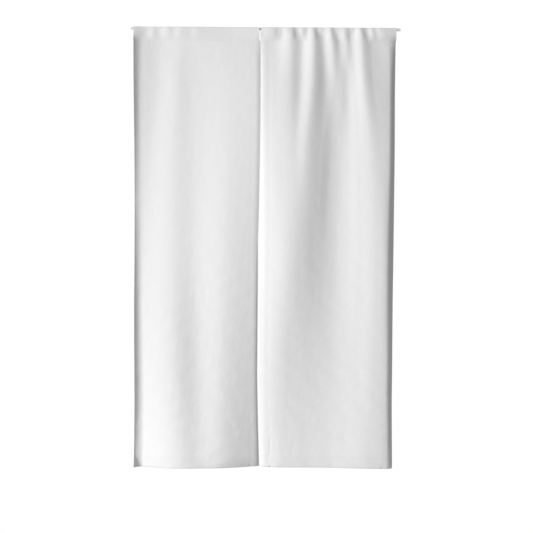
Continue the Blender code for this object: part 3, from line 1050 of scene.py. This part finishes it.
        for cut in cuts:
            bpy.ops.mesh.select_all(action="SELECT")
            bpy.ops.mesh.bisect(plane_co=(cut, 0.0, 0.0), plane_no=(1.0, 0.0, 0.0))
        self.select(cap, "FACE", in_groove)
        shrink = (radius - self.groove_depth) / radius
        bpy.ops.transform.resize(value=(1.0, shrink, shrink), center_override=(low, 0.0, 0.0))

    def build(self, paint: bpy.types.Material, plastic: bpy.types.Material) -> None:
        """Build the rod's four pieces, dress them and put them on the frame."""
        inset = self.cap_face + self.fit_gap
        tubes = (("inner_tube", inset, self.inner_end, self.inner_radius),
                 ("outer_tube", self.outer_start, self.length - inset, self.outer_radius))
        caps = (("left", self.inner_radius, 0.0, 1.0), ("right", self.outer_radius, self.length, -1.0))
        pieces = [(self.tube(*tube), paint, "rod_paint", f"rod_{tube[0]}") for tube in tubes]
        for side, radius, face, inward in caps:
            cap = self.cap(f"{side}_end_cap", radius, face, inward)
            pieces.append((cap, plastic, "cap_plastic", f"rod_end_cap_{side}"))
        for obj, material, slot, node in pieces:
            dress(obj, material)
            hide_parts(node)
            LOG.info("%s: %d faces", obj.name, len(obj.data.polygons))


# --- Finishes ---


class Socket:
    """A shader socket that takes part in Python expressions, each one a Math node."""

    def __init__(self, tree: "Finish", link: bpy.types.NodeSocket) -> None:
        """Wrap one output socket of a finish's node tree."""
        self.tree = tree
        self.link = link

    def _math(self, operation: str, first: Link, second: Link) -> "Socket":
        """Add one Math node."""
        return self.tree.node("ShaderNodeMath", {"operation": operation}, {0: first, 1: second})

    def __add__(self, other: Link) -> "Socket":
        """The sum."""
        return self._math("ADD", self, other)

    def __radd__(self, other: Link) -> "Socket":
        """The sum, with the number first."""
        return self._math("ADD", other, self)

    def __mul__(self, other: Link) -> "Socket":
        """The product."""
        return self._math("MULTIPLY", self, other)

    def sine(self) -> "Socket":
        """The sine."""
        return self.tree.node("ShaderNodeMath", {"operation": "SINE"}, {0: self})

    def absolute(self) -> "Socket":
        """The value without its sign."""
        return self.tree.node("ShaderNodeMath", {"operation": "ABSOLUTE"}, {0: self})


class Finish:
    """A material whose nodes are made by method calls and expressions."""

    def __init__(self, name: str) -> None:
        """Start a material with one Principled shader."""
        self.material = bpy.data.materials.new(name)
        self.material.use_nodes = True
        self.nodes = self.material.node_tree.nodes
        self.links = self.material.node_tree.links
        self.shader = self.nodes["Principled BSDF"]

    def node(self, kind: str, settings: dict, inputs: dict, output: str | int = 0) -> Socket:
        """Add one node.

        Args:
            kind: The node's type.
            settings: Its settings, set before its sockets.
            inputs: Values or sockets for its inputs, by name or number.
            output: Which output to hand back.

        Returns:
            The output, ready for expressions.
        """
        node = self.nodes.new(kind)
        for key, value in settings.items():
            setattr(node, key, value)
        for key, value in inputs.items():
            if isinstance(value, Socket):
                self.links.new(value.link, node.inputs[key])
            else:
                node.inputs[key].default_value = value
        return Socket(self, node.outputs[output])

    def place(self) -> Socket:
        """The place on the piece, in metres."""
        return self.node("ShaderNodeTexCoord", {}, {}, "Object")

    def stretched(self, vector: Socket, scale: tuple[float, float, float]) -> Socket:
        """A place, scaled by a different amount along each axis."""
        return self.node("ShaderNodeMapping", {}, {"Vector": vector, "Scale": scale})

    def noise(self, vector: Socket, scale: float, detail: float, **settings: str) -> Socket:
        """Soft noise over a place, at a scale and with finer detail."""
        return self.node("ShaderNodeTexNoise", settings, {"Vector": vector, "Scale": scale, "Detail": detail})

    def blend(self, factor: Link, first: Socket | tuple, second: Socket | tuple) -> Socket:
        """Mix two colours by a factor."""
        return self.node("ShaderNodeMix", {"data_type": "RGBA"}, {"Factor": factor, 6: first, 7: second}, 2)

    def bump(self, height: Socket, strength: float, distance: float, **onto: Socket) -> Socket:
        """Turn a height into a bumped normal, on top of another one where Normal is given."""
        inputs = {"Strength": strength, "Distance": distance, "Height": height, **onto}
        return self.node("ShaderNodeBump", {}, inputs)

    def finished(self, inputs: dict[str, Socket | float | tuple]) -> bpy.types.Material:
        """Set or link inputs of the shader, and hand back the material."""
        for name, value in inputs.items():
            if isinstance(value, Socket):
                self.links.new(value.link, self.shader.inputs[name])
            else:
                self.shader.inputs[name].default_value = value
        return self.material


@dataclass(frozen=True)
class CottonFinish:
    """Washed white cotton in a plain weave, with painted shade where it is doubled: a little darker and
    cooler there.
    """

    colour: tuple[float, float, float, float] = (0.868, 0.868, 0.874, 1.0)
    shade: tuple[float, float, float, float] = (0.835, 0.835, 0.845, 1.0)
    # Painted shade: a darker, cooler colour for the doubled pocket and hems
    doubled: tuple[float, float, float, float] = (0.825, 0.826, 0.838, 1.0)
    threads_per_metre: float = 1750.0

    def material(self) -> bpy.types.Material:
        """Build the material.

        Returns:
            The finished material.
        """
        finish = Finish("white_cotton")
        uv = finish.node("ShaderNodeUVMap", {"uv_map": "cloth"}, {})
        parts = finish.nodes.new("ShaderNodeSeparateXYZ")
        finish.links.new(uv.link, parts.inputs[0])
        pitch = self.threads_per_metre * math.pi
        warp, weft = ((Socket(finish, parts.outputs[axis]) * pitch).sine() for axis in (0, 1))
        weave = warp.absolute() * 0.5 + weft.absolute() * 0.5 + warp * weft * 0.3
        slub_across, slub_down, mottle, wrinkle = (
            self.cloth_noise(finish, uv, scale, detail)
            for scale, detail in (((55.0, 900.0, 1.0), 2.0), ((900.0, 55.0, 1.0), 2.0),
                                  ((14.0, 9.0, 1.0), 3.0), ((42.0, 26.0, 1.0), 4.0)))
        slubs = slub_across * 0.5 + slub_down * 0.5
        tone = finish.blend(mottle * 0.35 + slubs * 0.3, self.colour, self.shade)
        # Painted shade: the doubled pocket and hems are blended halfway towards the darker, cooler colour
        doubled = finish.node("ShaderNodeAttribute", {"attribute_name": "doubled"}, {}, "Fac")
        fine = finish.bump(weave * 0.6 + slubs * 0.9, 0.35, 0.00018)
        return finish.finished({
            "Base Color": finish.blend(doubled * 0.5, tone, self.doubled),
            "Roughness": 0.80 + slubs * 0.15,
            "Normal": finish.bump(wrinkle, 0.30, 0.0012, Normal=fine),
            "Sheen Weight": 0.12,
            "Sheen Roughness": 0.45,
            "Specular IOR Level": 0.25,
        })

    @staticmethod
    def cloth_noise(finish: Finish, uv: Socket, scale: tuple[float, float, float], detail: float) -> Socket:
        """Noise on the cloth's own map, stretched along one thread direction."""
        noise = finish.noise(finish.stretched(uv, scale), 1.0, detail, noise_dimensions="2D")
        noise.link.node.inputs["Roughness"].default_value = 0.55
        return noise


@dataclass(frozen=True)
class ThreadFinish:
    """Spun white sewing thread."""

    colour: tuple[float, float, float, float] = (0.80, 0.80, 0.80, 1.0)
    shade: tuple[float, float, float, float] = (0.70, 0.70, 0.71, 1.0)

    def material(self) -> bpy.types.Material:
        """Build the material."""
        finish = Finish("sewing_thread")
        twist = finish.noise(finish.place(), 2600.0, 2.0)
        return finish.finished({
            "Base Color": finish.blend(twist, self.colour, self.shade),
            "Roughness": 0.55 + twist * 0.2,
            "Normal": finish.bump(twist, 0.4, 0.0001),
            "Sheen Weight": 0.2,
        })


@dataclass(frozen=True)
class PaintFinish:
    """Satin white paint on drawn steel, with faint streaks and a light orange peel."""

    colour: tuple[float, float, float, float] = (0.86, 0.86, 0.85, 1.0)
    worn: tuple[float, float, float, float] = (0.78, 0.77, 0.75, 1.0)

    def material(self) -> bpy.types.Material:
        """Build the material."""
        finish = Finish("rod_paint")
        place = finish.place()
        rubbed = finish.noise(finish.stretched(place, (8.0, 700.0, 700.0)), 1.0, 3.0)
        return finish.finished({
            "Base Color": finish.blend(rubbed * 0.4, self.colour, self.worn),
            "Roughness": 0.30 + rubbed * 0.12,
            "Normal": finish.bump(finish.noise(place, 900.0, 2.0), 0.15, 0.0001),
            "Coat Weight": 0.15,
        })


@dataclass(frozen=True)
class PlasticFinish:
    """Moulded off-white plastic with a fine spark-eroded grain."""

    colour: tuple[float, float, float, float] = (0.84, 0.84, 0.83, 1.0)
    dull: tuple[float, float, float, float] = (0.74, 0.74, 0.72, 1.0)

    def material(self) -> bpy.types.Material:
        """Build the material."""
        finish = Finish("cap_plastic")
        place = finish.place()
        grain = finish.noise(place, 3200.0, 2.0)
        return finish.finished({
            "Base Color": finish.blend(finish.noise(place, 240.0, 2.0) * 0.4, self.colour, self.dull),
            "Roughness": 0.42 + grain * 0.16,
            "Normal": finish.bump(grain, 0.25, 0.00008),
        })


# --- Studio ---


@dataclass
class Studio:
    """Camera, lights, floor and white surroundings."""

    photo_pixels: int = 533
    metres_per_pixel: float = 0.003235
    camera_distance: float = 2.8
    camera_place: tuple[float, float] = (0.4434, -0.7681)
    camera_roll: float = 0.33
    world_strength: float = 0.27
    key_power: float = 1410.0
    key_size: float = 2.8
    key_place: tuple[float, float, float] = (-9.36, -6.81, 0.30)
    fill_power: float = 220.0
    fill_size: float = 3.0
    fill_place: tuple[float, float, float] = (-4.6, 5.2, -0.3)
    target: tuple[float, float, float] = (0.44, 0.0, -0.75)
    floor_height: float = -1.98

    def build(self) -> None:
        """Build the whole studio."""
        self.add_camera()
        self.add_light("key", self.key_power, self.key_size, self.key_place)
        self.add_light("back_fill", self.fill_power, self.fill_size, self.fill_place)
        self.add_world()
        self.add_floor()
        bpy.context.scene.view_settings.view_transform = "Standard"

    def add_camera(self) -> None:
        """Put the camera at the photograph's angle and distance."""
        data = bpy.data.cameras.new("camera")
        data.sensor_width = 36.0
        data.lens = 36.0 * self.camera_distance / (self.photo_pixels * self.metres_per_pixel)
        camera = bpy.data.objects.new("camera", data)
        place = Matrix.Translation((self.camera_place[0], -self.camera_distance, self.camera_place[1]))
        level = Euler((math.pi / 2.0, 0.0, 0.0)).to_matrix().to_4x4()
        camera.matrix_world = place @ level @ Matrix.Rotation(math.radians(self.camera_roll), 4, "Z")
        bpy.context.scene.collection.objects.link(camera)
        bpy.context.scene.camera = camera

    def add_light(self, name: str, power: float, size: float, place: tuple[float, float, float]) -> None:
        """Add one soft round light that is aimed at the middle of the curtain."""
        data = bpy.data.lights.new(name, "AREA")
        data.shape = "DISK"
        data.size = size
        data.energy = power
        light = bpy.data.objects.new(name, data)
        light.location = place
        aim = Vector(self.target) - Vector(place)
        light.rotation_euler = aim.to_track_quat("-Z", "Y").to_euler()
        bpy.context.scene.collection.objects.link(light)

    def add_world(self) -> None:
        """White surroundings: pure white behind the curtain, and a softer white as light."""
        world = bpy.data.worlds.new("white_room")
        world.use_nodes = True
        nodes, links = world.node_tree.nodes, world.node_tree.links
        soft = nodes["Background"]
        soft.inputs["Strength"].default_value = self.world_strength
        soft.inputs["Color"].default_value = (1.0, 1.0, 1.0, 1.0)
        white = nodes.new("ShaderNodeBackground")
        white.inputs["Color"].default_value = (1.0, 1.0, 1.0, 1.0)
        white.inputs["Strength"].default_value = 1.0
        seen = nodes.new("ShaderNodeLightPath")
        mix = nodes.new("ShaderNodeMixShader")
        links.new(seen.outputs["Is Camera Ray"], mix.inputs["Fac"])
        links.new(soft.outputs[0], mix.inputs[1])
        links.new(white.outputs[0], mix.inputs[2])
        links.new(mix.outputs[0], nodes["World Output"].inputs["Surface"])
        bpy.context.scene.world = world

    def add_floor(self) -> None:
        """Add a plain pale floor below the curtain."""
        bpy.ops.object.select_all(action="DESELECT")
        bpy.ops.mesh.primitive_plane_add(size=1.0, location=(0.44, -0.4, self.floor_height))
        floor = bpy.context.object
        floor.name = "floor"
        floor.scale = (4.2, 2.6, 1.0)
        bpy.ops.object.transform_apply(location=True, rotation=True, scale=True)
        finish = Finish("pale_floor")
        cloud = finish.noise(finish.place(), 3.0, 2.0)
        tone = finish.blend(cloud, (0.86, 0.86, 0.86, 1.0), (0.83, 0.83, 0.83, 1.0))
        floor.data.materials.append(finish.finished({"Base Color": tone, "Roughness": 0.7}))


# --- Making the scene ---


def main() -> None:
    """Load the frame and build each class's pieces."""
    logging.basicConfig(level=logging.INFO, format="%(name)s %(message)s")
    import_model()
    cotton = CottonFinish().material()
    thread = ThreadFinish().material()
    left = ClothPanel(
        HangingShape(Side.LEFT, LEFT_FOLDS, (LEFT_CURLS, CENTRE_CURLS), (LEFT_RIM, CENTRE_RIM),
                     LEFT_HEM_CURLS, LEFT_GATHERS, LEFT_PUCKERS, 0.0, (0.00008, 0.00022), 11),
        columns=112,
        flat=(0.500, 1.56),
    )
    right = ClothPanel(
        HangingShape(Side.RIGHT, RIGHT_FOLDS, (CENTRE_CURLS, RIGHT_CURLS), (PLAIN_RIM, PLAIN_RIM),
                     RIGHT_HEM_CURLS, RIGHT_GATHERS, RIGHT_PUCKERS, 0.0040, (0.00026, 0.00012), 23),
        columns=150,
        flat=(0.530, 1.56),
    )
    left.build(cotton, thread)
    right.build(cotton, thread)
    seam = CentreSeam(left, right).build(thread)
    LOG.info("%s: %d faces", seam.name, len(seam.data.polygons))
    TensionRod().build(PaintFinish().material(), PlasticFinish().material())
    Studio().build()


if __name__ == "__main__":
    main()
